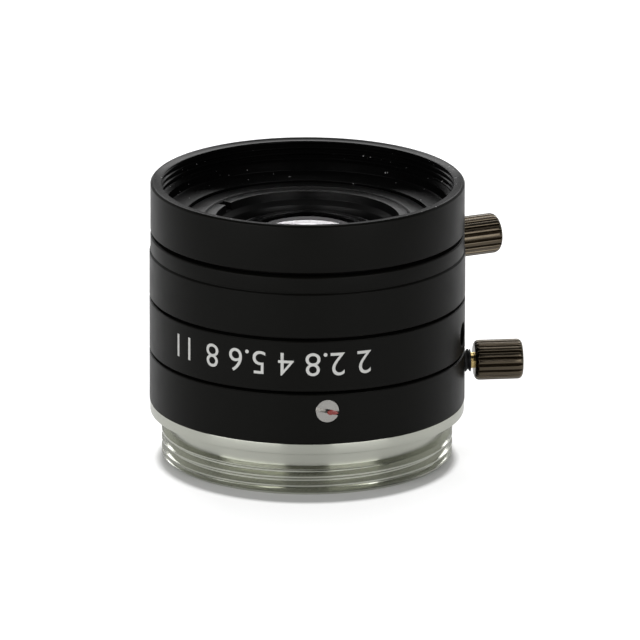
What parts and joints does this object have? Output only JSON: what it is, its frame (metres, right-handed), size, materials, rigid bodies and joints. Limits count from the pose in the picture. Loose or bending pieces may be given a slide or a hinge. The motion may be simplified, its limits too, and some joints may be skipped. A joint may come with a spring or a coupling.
{
  "type": "machine vision lens",
  "caption": "Compact fixed-focal-length lens for a C-mount camera, with turning focus and iris rings locked by knurled thumbscrews and a threaded front opening.",
  "frame": {"origin": "centre of the mount thread's end face, on the lens axis, where the lens stands", "axes": "+Z along the optical axis from the camera to the subject, +X to the side where the thumbscrews point, -Y to the side seen in the picture"},
  "size_m": [0.0326, 0.0274, 0.0246],
  "materials": {
    "bright_aluminium": "turned, bright",
    "black_anodised": "satin black anodised",
    "black_inner": "matt black inside",
    "grey_cell": "dark grey anodised",
    "brass": "turned, greased",
    "steel": "machined",
    "dark_nickel": "dark nickel plate, knurled",
    "nylon": "natural nylon",
    "blade_steel": "blackened spring steel",
    "white_paint": "white filled numbers",
    "red_lacquer": "red thread-lock lacquer",
    "coated_glass": "polished, anti-reflection coated"
  },
  "bodies": {
    "mount": {"c_mount_ring": "bright_aluminium", "guide_pin": "steel", "focus_retaining_ring": "brass"},
    "focus": {"focus_ring": "black_anodised", "helicoid_nut": "brass", "focus_set_screws": "steel"},
    "focus_pad": {"focus_lock_pad": "nylon"},
    "focus_screw": {"focus_lock_thumbscrew": "dark_nickel"},
    "optics": {"inner_barrel": "black_inner", "scale_sleeve": "black_anodised", "scale_set_screw": "steel", "front_barrel": "black_anodised", "front_cell": "grey_cell", "front_retaining_ring": "black_inner", "front_element": "coated_glass", "front_spacer": "black_inner", "second_element": "coated_glass", "iris_base": "black_inner", "rear_cell": "black_inner", "third_element": "coated_glass", "fourth_element": "coated_glass", "rear_spacer_a": "black_inner", "fifth_element": "coated_glass", "sixth_element": "coated_glass", "rear_spacer_b": "black_inner", "rear_element": "coated_glass", "rear_retaining_ring": "black_inner"},
    "iris": {"iris_ring": "black_anodised", "iris_drive_screw": "steel", "iris_cam_ring": "brass"},
    "iris_pad": {"iris_lock_pad": "nylon"},
    "iris_screw": {"iris_lock_thumbscrew": "dark_nickel"},
    "blade_1": {"iris_blade_1": "blade_steel"},
    "blade_2": {"iris_blade_2": "blade_steel"},
    "blade_3": {"iris_blade_3": "blade_steel"},
    "blade_4": {"iris_blade_4": "blade_steel"},
    "blade_5": {"iris_blade_5": "blade_steel"},
    "blade_6": {"iris_blade_6": "blade_steel"}
  },
  "joints": [
    {"name": "focus_turn", "type": "hinge", "parent": "mount", "child": "focus", "pos_m": [0, 0, 0.0072], "axis": [0, 0, 1], "range_deg": [-8, 160]},
    {"name": "focus_slide", "type": "slide", "parent": "mount", "child": "optics", "axis": [0, 0, 1], "range_m": [0, 0.00125]},
    {"name": "focus_lock_slide", "type": "slide", "parent": "focus", "child": "focus_pad", "axis": [0.9936, 0.1132, 0], "range_m": [-0.00012, 0.0004]},
    {"name": "focus_lock_turn", "type": "hinge", "parent": "focus_pad", "child": "focus_screw", "pos_m": [0.01659, 0.00189, 0.00785], "axis": [0.9936, 0.1132, 0], "range_deg": [-200, 480]},
    {"name": "iris_turn", "type": "hinge", "parent": "optics", "child": "iris", "pos_m": [0, 0, 0.0172], "axis": [0, 0, 1], "range_deg": [0, 45]},
    {"name": "iris_lock_slide", "type": "slide", "parent": "iris", "child": "iris_pad", "axis": [0.9063, 0.4226, 0], "range_m": [-0.00004, 0.0004]},
    {"name": "iris_lock_turn", "type": "hinge", "parent": "iris_pad", "child": "iris_screw", "pos_m": [0.01459, 0.0068, 0.01769], "axis": [0.9063, 0.4226, 0], "range_deg": [-120, 480]},
    {"name": "blade_1_turn", "type": "hinge", "parent": "optics", "child": "blade_1", "pos_m": [0.0074, 0, 0.0129], "axis": [0, 0, 1], "range_deg": [0, 34]},
    {"name": "blade_2_turn", "type": "hinge", "parent": "optics", "child": "blade_2", "pos_m": [0.0037, 0.00641, 0.0129], "axis": [0, 0, 1], "range_deg": [0, 34]},
    {"name": "blade_3_turn", "type": "hinge", "parent": "optics", "child": "blade_3", "pos_m": [-0.0037, 0.00641, 0.0129], "axis": [0, 0, 1], "range_deg": [0, 34]},
    {"name": "blade_4_turn", "type": "hinge", "parent": "optics", "child": "blade_4", "pos_m": [-0.0074, 0, 0.0129], "axis": [0, 0, 1], "range_deg": [0, 34]},
    {"name": "blade_5_turn", "type": "hinge", "parent": "optics", "child": "blade_5", "pos_m": [-0.0037, -0.00641, 0.0129], "axis": [0, 0, 1], "range_deg": [0, 34]},
    {"name": "blade_6_turn", "type": "hinge", "parent": "optics", "child": "blade_6", "pos_m": [0.0037, -0.00641, 0.0129], "axis": [0, 0, 1], "range_deg": [0, 34]}
  ],
  "couplings": [
    {"joint": "focus_turn", "follows": "focus_slide", "rad_per_m": 2094.4},
    {"joint": "focus_lock_turn", "follows": "focus_lock_slide", "rad_per_m": 15708},
    {"joint": "iris_lock_turn", "follows": "iris_lock_slide", "rad_per_m": 15708},
    {"joint": "blade_1_turn", "follows": "iris_turn", "ratio": 0.57778},
    {"joint": "blade_2_turn", "follows": "iris_turn", "ratio": 0.57778},
    {"joint": "blade_3_turn", "follows": "iris_turn", "ratio": 0.57778},
    {"joint": "blade_4_turn", "follows": "iris_turn", "ratio": 0.57778},
    {"joint": "blade_5_turn", "follows": "iris_turn", "ratio": 0.57778},
    {"joint": "blade_6_turn", "follows": "iris_turn", "ratio": 0.57778}
  ]
}
